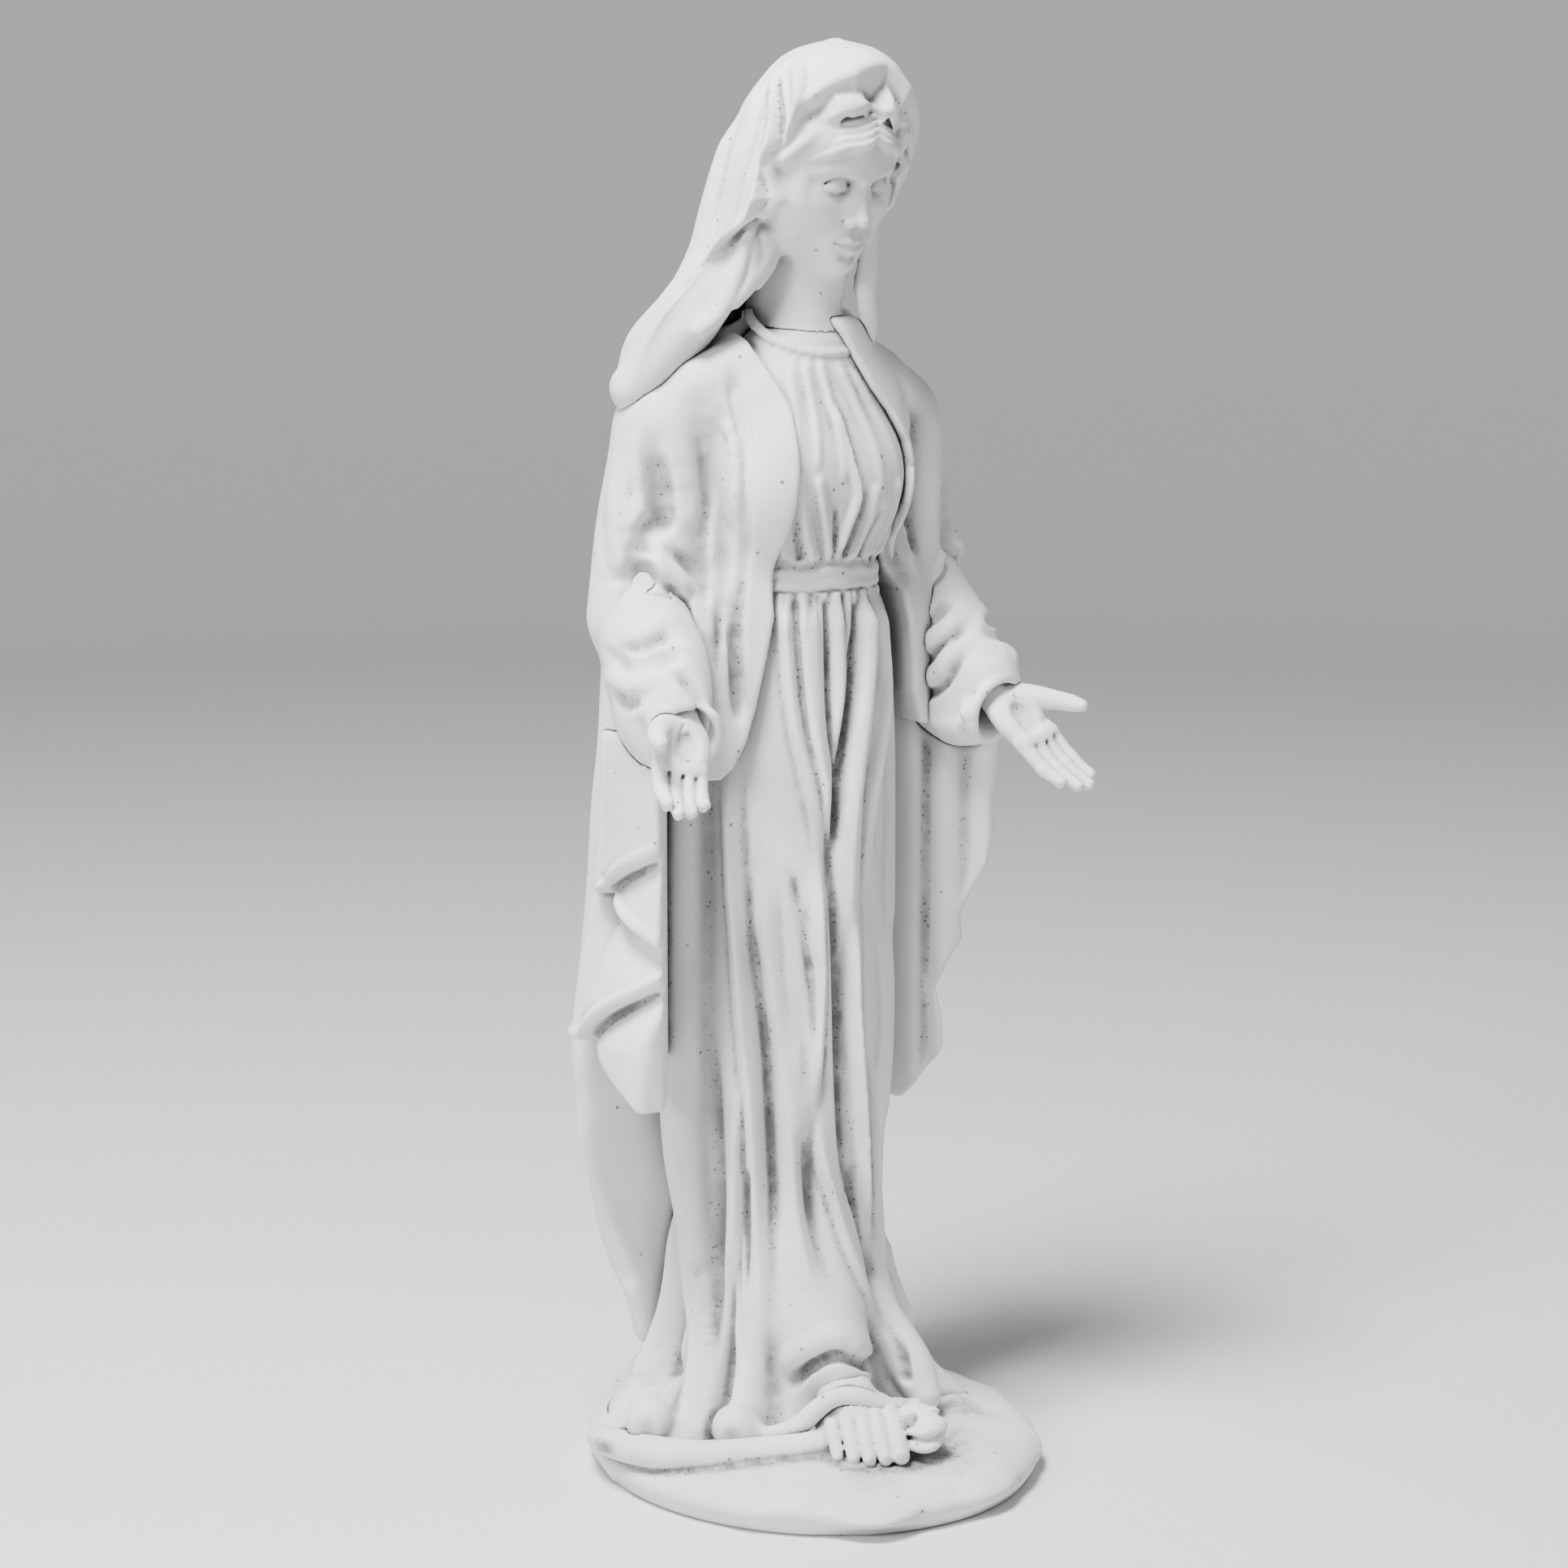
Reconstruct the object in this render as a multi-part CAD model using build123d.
"""Free-standing garden statue of a robed and veiled woman with open hands, 0.78 m tall.

The statue is assembled from hollow and solid castings of fibre-reinforced magnesia cement, bonded with
mortar over galvanised steel bars. Millimetres, +Z up, the figure faces -Y, and the origin lies on the
ground under the middle of the base.
"""

import os
from math import cos, pi, sin

from build123d import *

# ---- driving dimensions ----
HEIGHT = 780.0  # ground to the crown of the veil
BASE_HALF_X, BASE_HALF_Y = 124.0, 138.0  # widest outline of the mound
BASE_FOOT = 0.95  # the mound's outline on the ground, as a share of the widest
BASE_TOP = 30.0  # land on the mound that the robe stands on
BASE_RIM = 14.0  # width of the rim under the hollow base
BOSS_TOP = 52.0  # raised oval inside the robe's foot
BOSS_HALF = (46.0, 34.0)
WALL = 9.0  # casting wall of the robe and the base
MORTAR = 1.0  # bonded joint between two castings
BAR_FIT = 0.5  # radial mortar gap around a steel bar
NECK_Z = 622.0  # top of the robe casting
SHOULDER_SLAB = 26.0  # thickness of the closed top of the robe casting
WAIST_Z = 498.0  # middle of the belt
BELT_WIDTH, BELT_Y = 14.0, 18.0
BELT_HALF = (50.0, 43.0)
FIGURE_Y = 33.0  # the figure stands behind the middle of the base

# The left arm; the right arm is its mirror image
SHOULDER = (68.0, 22.0, 574.0)
ELBOW = (88.0, 32.0, 474.0)
WRIST = (98.0, -28.0, 430.0)
FINGERTIP = (128.0, -79.0, 379.0)
THUMBTIP = (132.0, -69.0, 423.0)

# Robe sections: height, middle y, half width, half depth
ROBE = [
    (BASE_TOP + MORTAR, FIGURE_Y, 96.0, 82.0),
    (64.0, FIGURE_Y, 72.0, 64.0),
    (110.0, 31.0, 56.0, 54.0),
    (220.0, 28.0, 56.0, 55.0),
    (350.0, 24.0, 56.0, 52.0),
    (456.0, 20.0, 51.0, 45.0),
    (WAIST_Z, 18.0, 46.0, 39.0),
    (552.0, 15.0, 56.0, 47.0),
    (588.0, 17.0, 60.0, 42.0),
    (NECK_Z, 14.0, 32.0, 28.0),
]
FOLDS = 14
FOLD_DEPTH = 3.0
RING_POINTS = FOLDS * 4
FOLD_FADE = 80.0  # the folds die out over this height below the belt
FAR, OVERHEAD = 200.0, 700.0  # beyond the figure to every side, and above the shoulders

# Mantle sections: height, middle x, middle y, half width, half depth
MANTLE = [
    (60.0, -14.0, 52.0, 76.0, 58.0),
    (150.0, -12.0, 50.0, 100.0, 66.0),
    (240.0, -8.0, 46.0, 110.0, 68.0),
    (400.0, 0.0, 40.0, 108.0, 64.0),
    (500.0, 0.0, 36.0, 108.0, 56.0),
    (570.0, 0.0, 34.0, 98.0, 50.0),
    (604.0, 0.0, 26.0, 62.0, 42.0),
]
MANTLE_FRONT_Y = 14.0  # the cloak is open in front of this plane

# Hanging side of the mantle: height, middle x, front y, half thickness
FALL = [
    (178.0, 96.0, 0.0, 4.0),
    (214.0, 92.0, -4.0, 6.0),
    (262.0, 100.0, -16.0, 6.0),
    (310.0, 92.0, -12.0, 6.0),
    (356.0, 101.0, -24.0, 6.0),
    (404.0, 96.0, -22.0, 6.0),
]
FALL_ROUNDING = 0.9  # corner radius of the hanging edge, as a share of its half thickness

# Veil sections: height, middle y, half width, half depth
VEIL = [
    (566.0, 50.0, 84.0, 42.0),
    (620.0, 30.0, 64.0, 52.0),
    (664.0, 14.0, 52.0, 56.0),
    (704.0, 4.0, 49.0, 58.0),
    (742.0, -2.0, 43.0, 52.0),
    (768.0, -4.0, 27.0, 34.0),
    (HEIGHT, -4.0, 9.0, 12.0),
]
FACE_WINDOW = (4.0, 672.0, 31.0, 66.0)  # middle x and z, half width and half height
FACE_WINDOW_BACK, FACE_WINDOW_DEPTH = -8.0, 120.0
FACE = ((3.0, -16.0, 696.0), (33.0, 38.0, 46.0))
NECK = ((0.0, 8.0, 600.0), (2.0, -4.0, 672.0), 21.0)

# On the mound
SERPENT_PATH = [(-104, -24, 22), (-84, -56, 28), (-38, -76, 30), (-4, -88, 32), (12, -88, 34)]
SERPENT_R = 10.0
SERPENT_HEAD = ((20.0, -84.0, 40.0), (14.0, 18.0, 12.0))
FOOT = ((-14.0, -66.0, 36.0), (18.0, 36.0, 16.0))

# Steel
NECK_BAR = ((0.0, 6.0, 602.0), (1.0, -2.0, 690.0), 4.0)
CORE_BAR_X, CORE_BAR_Y, CORE_BAR_R = 26.0, 22.0, 4.0
CORE_BAR_Z = (30.0, 606.0)
ARM_BAR_R = 2.5
ARM_BAR_TOP = (80.0, 26.0, 524.0)

# Hands
PALM_LENGTH, PALM_HALF_WIDTH, PALM_HALF_THICKNESS = 40.0, 16.0, 8.0
PALM_HEEL_R = 9.2  # the palm leaves the wrist a little narrower than the peg, clear of the socket
PALM_MIDDLE = (14.0, 8.5)  # half width and half thickness halfway along the palm
FINGER_R, FINGER_SPREAD = (4.6, 3.2), 8.2
FINGER_OVERLAP = 3.0  # the fingers start this far inside the palm
FINGERS = ((-1.5, 0.80), (-0.5, 0.95), (0.5, 1.0), (1.5, 0.92))  # place across the palm, share of the reach
FINGER_CLOSING = 1.5  # the outer fingertips lean inwards
THUMB_ROOT = (14.0, 6.0)  # along the palm and across it, from the wrist
THUMB_R = (6.8, 5.5, 3.6)  # root, middle and tip
TIP_SWELL = 0.4  # fingertips and the wrist swell a little beyond the taper they end
WRIST_R = 10.0
PEG_LENGTH = 14.0  # the part of the wrist that is set in the sleeve

# Sleeves: radii from elbow to wrist, and the hanging cuff
SLEEVE_RADII = [(26.0, 27.0), (26.0, 27.0), (22.0, 23.0)]
CUFF, CUFF_RADII = (92.0, -4.0, 432.0), (19.0, 30.0, 36.0)
MOUTH_LENGTH, MOUTH_ROOM = 40.0, 3.0  # where the palm leaves the cuff, and the clear room round it


# ---- shapes ----
def ring(z, middle_x, middle_y, half_x, half_y, depth=0.0):
    """A closed horizontal outline; depth gives it rounded folds."""
    points = []
    for i in range(RING_POINTS):
        a = 2 * pi * i / RING_POINTS
        grow = depth * cos(FOLDS * a)
        points.append(Vector(middle_x + (half_x + grow) * cos(a), middle_y + (half_y + grow) * sin(a), z))
    return Wire([Edge.make_spline(points, periodic=True)])


def robe_body(grow=0.0, folded=True):
    """The robe's outer form, grown or shrunk by a wall or a joint."""
    wires = []
    for z, y, half_x, half_y in ROBE:
        fade = max(0.0, min(1.0, (WAIST_Z - z) / FOLD_FADE))
        wires.append(ring(z, 0, y, half_x + grow, half_y + grow, FOLD_DEPTH * fade if folded else 0.0))
    return Solid.make_loft(wires)


def mantle_body(grow=0.0):
    return Solid.make_loft([ring(z, x, y, rx + grow, ry + grow) for z, x, y, rx, ry in MANTLE])


def veil_body():
    return Solid.make_loft([ring(z, 0, y, rx, ry) for z, y, rx, ry in VEIL])


def on_side(point, side):
    """A point of the left arm, mirrored when side is -1."""
    return Vector(side * point[0], point[1], point[2])


def bar(start, end, radius):
    """A round bar between two points."""
    direction = end - start
    return Solid.make_cylinder(radius, direction.length, Plane(origin=start, z_dir=direction.normalized()))


def knuckle(middle, radius):
    return Pos(*middle) * Solid.make_sphere(radius, angle1=-90, angle2=90)


def taper(start, end, half_sizes, across):
    """A loft of ellipses between two points; half_sizes lists (across, thick) at even steps."""
    direction = (end - start).normalized()
    wires = []
    for i, (wide, thick) in enumerate(half_sizes):
        middle = start + (end - start) * (i / (len(half_sizes) - 1))
        section = Plane(origin=middle, x_dir=across, z_dir=direction) * Ellipse(wide, thick)
        wires.append(section.wire())
    return Solid.make_loft(wires)


def ellipsoid(middle, radii):
    return Pos(*middle) * scale(Solid.make_sphere(1.0, angle1=-90, angle2=90), by=radii)


def block(low, high):
    """A box given by its two corners."""
    size = [high[i] - low[i] for i in range(3)]
    return Solid.make_box(*size, Plane(origin=Vector(*low)))


def casting(shape):
    """The one connected solid that is the casting; trimmed slivers are dropped."""
    return max(shape.solids(), key=lambda s: s.volume)


# ---- steel ----
def neck_bar(grow=0.0):
    start, end, radius = NECK_BAR
    return bar(Vector(*start), Vector(*end), radius + grow)


def core_bar(side, grow=0.0):
    low, high = CORE_BAR_Z
    x = side * CORE_BAR_X
    return bar(Vector(x, CORE_BAR_Y, low), Vector(x, CORE_BAR_Y, high), CORE_BAR_R + grow)


def arm_bar(side, grow=0.0):
    """Bent bar from the upper arm through the sleeve into the palm."""
    top, elbow = on_side(ARM_BAR_TOP, side), on_side(ELBOW, side)
    wrist, tip = on_side(WRIST, side), on_side(FINGERTIP, side)
    palm = wrist + (tip - wrist) * 0.3
    radius = ARM_BAR_R + grow
    shape = bar(top, elbow, radius) + knuckle(elbow, radius) + bar(elbow, wrist, radius)
    return casting(shape + knuckle(wrist, radius) + bar(wrist, palm, radius))


# ---- castings ----
def upper_arm(side, grow=0.0):
    shoulder, elbow = on_side(SHOULDER, side), on_side(ELBOW, side)
    radii = [(r + grow, r + grow) for r in (22.0, 25.0, 27.0)]
    return taper(shoulder, elbow, radii, Vector(0, 1, 0)) + knuckle(shoulder, 22.0 + grow)


def belt(grow=0.0):
    """The flat belt round the waist."""
    outline = Ellipse(BELT_HALF[0] + grow, BELT_HALF[1] + grow)
    return extrude(Pos(0, BELT_Y, WAIST_Z - BELT_WIDTH / 2 - grow) * outline, BELT_WIDTH + 2 * grow)


def robe_casting():
    """Skirt, bodice and upper arms in one hollow casting, open at the foot and closed at the shoulders."""
    cavity = robe_body(-WALL, folded=False) & block((-FAR, -FAR, 0), (FAR, FAR, NECK_Z - SHOULDER_SLAB))
    shape = robe_body() + belt() + upper_arm(1) + upper_arm(-1) - cavity - neck_bar(BAR_FIT)
    for side in (-1, 1):
        shape = shape - core_bar(side, BAR_FIT) - arm_bar(side, BAR_FIT)
    return casting(shape)


def robe_form():
    """The room that the robe, its belt and its upper arms take up, with the mortar around them."""
    return robe_body(MORTAR) + belt(MORTAR) + upper_arm(1, MORTAR) + upper_arm(-1, MORTAR)


def base_casting():
    """Rounded mound, hollow underneath, with a boss inside the robe, a foot and the serpent in front."""
    outline = [(0.0, BASE_FOOT), (12.0, 1.0), (22.0, 0.93), (BASE_TOP, 0.80)]
    mound = Solid.make_loft([ring(z, 0, 0, BASE_HALF_X * s, BASE_HALF_Y * s) for z, s in outline])
    path = Spline(*SERPENT_PATH)
    serpent = sweep(Plane(origin=path @ 0, z_dir=path % 0) * Circle(SERPENT_R), path)
    head, foot = ellipsoid(*SERPENT_HEAD), ellipsoid(*FOOT)
    hollow_half = (BASE_HALF_X * BASE_FOOT - BASE_RIM, BASE_HALF_Y * BASE_FOOT - BASE_RIM)
    hollow = extrude(Ellipse(*hollow_half), BASE_TOP - WALL)
    boss = extrude(Pos(0, FIGURE_Y, BASE_TOP - 1) * Ellipse(*BOSS_HALF), BOSS_TOP - BASE_TOP + 1)
    shape = mound + serpent + head + foot - robe_body(MORTAR) + boss - hollow
    for side in (-1, 1):
        shape = shape - core_bar(side, BAR_FIT)
    return casting(shape)


def mantle_casting(robe_room):
    """The cloak: a shell around the back and both sides of the robe, open in front."""
    front = block((-FAR, -FAR, 0), (FAR, MANTLE_FRONT_Y, OVERHEAD))
    shape = mantle_body() - robe_room - front
    return casting(shape - arm_bar(1, BAR_FIT) - arm_bar(-1, BAR_FIT))


def mantle_form():
    """The room that the cloak takes up behind its open front, with the mortar around it."""
    return mantle_body(MORTAR) & block((-FAR, MANTLE_FRONT_Y - MORTAR, 0), (FAR, FAR, OVERHEAD))


def sleeve_form(side, grow=0.0):
    """The outside of a forearm with its deep hanging cuff."""
    elbow, wrist = on_side(ELBOW, side), on_side(WRIST, side)
    radii = [(wide + grow, thick + grow) for wide, thick in SLEEVE_RADII]
    forearm = taper(elbow, wrist, radii, Vector(1, 0, 0))
    return forearm + ellipsoid(on_side(CUFF, side), tuple(r + grow for r in CUFF_RADII))


def sleeve(side, robe_room):
    """The forearm casting, bored for the arm bar and socketed for the hand."""
    elbow, wrist = on_side(ELBOW, side), on_side(WRIST, side)
    back = (elbow - wrist).normalized()
    socket = bar(wrist + back * (PEG_LENGTH + MORTAR), wrist, WRIST_R + MORTAR)
    room = PALM_HALF_WIDTH + MOUTH_ROOM
    flare = [(WRIST_R + MORTAR, WRIST_R + MORTAR), (room, room), (room, room)]
    mouth = taper(wrist, wrist - back * MOUTH_LENGTH, flare, Vector(1, 0, 0))
    return casting(sleeve_form(side) - robe_room - mantle_form() - socket - mouth - arm_bar(side, BAR_FIT))


def mantle_fall(side):
    """Free-hanging front edge of the cloak under a forearm, rippled like a cascade."""
    back_y = MANTLE_FRONT_Y - MORTAR
    wires = []
    for z, x, front_y, half in FALL:
        middle = Pos(side * x, (front_y + back_y) / 2, z)
        wires.append((middle * RectangleRounded(2 * half, back_y - front_y, half * FALL_ROUNDING)).wire())
    return casting(Solid.make_loft(wires) - sleeve_form(side, MORTAR))


def left_hand():
    """Open hand with its peg in the cuff, palm forward and up, fingers down and out."""
    wrist, tip, elbow = Vector(*WRIST), Vector(*FINGERTIP), Vector(*ELBOW)
    along = (tip - wrist).normalized()
    across = along.cross(Vector(0, -0.72, 0.69)).normalized()
    peg = bar(wrist + (elbow - wrist).normalized() * PEG_LENGTH, wrist, WRIST_R)
    knuckles = wrist + along * PALM_LENGTH
    sizes = [(PALM_HEEL_R, PALM_HEEL_R), PALM_MIDDLE, (PALM_HALF_WIDTH, PALM_HALF_THICKNESS)]
    shape = peg + knuckle(wrist, WRIST_R + TIP_SWELL) + taper(wrist, knuckles, sizes, across)
    reach = (tip - knuckles).length
    for place, share in FINGERS:
        root = knuckles - along * FINGER_OVERLAP + across * (place * FINGER_SPREAD)
        end = root + along * (reach * share) - across * (place * FINGER_CLOSING)
        shape += taper(root, end, [(FINGER_R[0],) * 2, (FINGER_R[1],) * 2], across)
        shape += knuckle(end, FINGER_R[1] + TIP_SWELL)
    thumb_root = wrist + along * THUMB_ROOT[0] + across * THUMB_ROOT[1]
    thumb_tip = Vector(*THUMBTIP)
    shape += taper(thumb_root, thumb_tip, [(r, r) for r in THUMB_R], Vector(0, 0, 1))
    shape += knuckle(thumb_tip, THUMB_R[-1] + TIP_SWELL)
    return casting(shape - arm_bar(1, BAR_FIT))


def head_casting(robe_room):
    """Head, neck and veil; the veil's skirt laps over the shoulders and the back of the mantle."""
    x, z, half_x, half_z = FACE_WINDOW
    opening = Plane(origin=(x, FACE_WINDOW_BACK, z), z_dir=(0, -1, 0)) * Ellipse(half_x, half_z)
    window = extrude(opening, FACE_WINDOW_DEPTH)
    start, end, radius = NECK
    solid = veil_body() - window + ellipsoid(*FACE) + bar(Vector(*start), Vector(*end), radius)
    return casting(solid - robe_room - mantle_form() - neck_bar(BAR_FIT))


def main():
    robe_room = robe_form()
    parts = {
        "base_casting": base_casting(),
        "robe_casting": robe_casting(),
        "mantle_casting": mantle_casting(robe_room),
        "head_casting": head_casting(robe_room),
        "neck_bar": neck_bar(),
    }
    parts["left_hand"] = left_hand()
    parts["right_hand"] = parts["left_hand"].mirror(Plane.YZ)
    for side, name in ((-1, "right"), (1, "left")):
        parts[name + "_sleeve"] = sleeve(side, robe_room)
        parts[name + "_mantle_fall"] = mantle_fall(side)
        parts[name + "_arm_bar"] = arm_bar(side)
        parts[name + "_core_bar"] = core_bar(side)
    os.makedirs("parts", exist_ok=True)
    for name, shape in parts.items():
        export_step(shape, f"parts/{name}.step")


main()
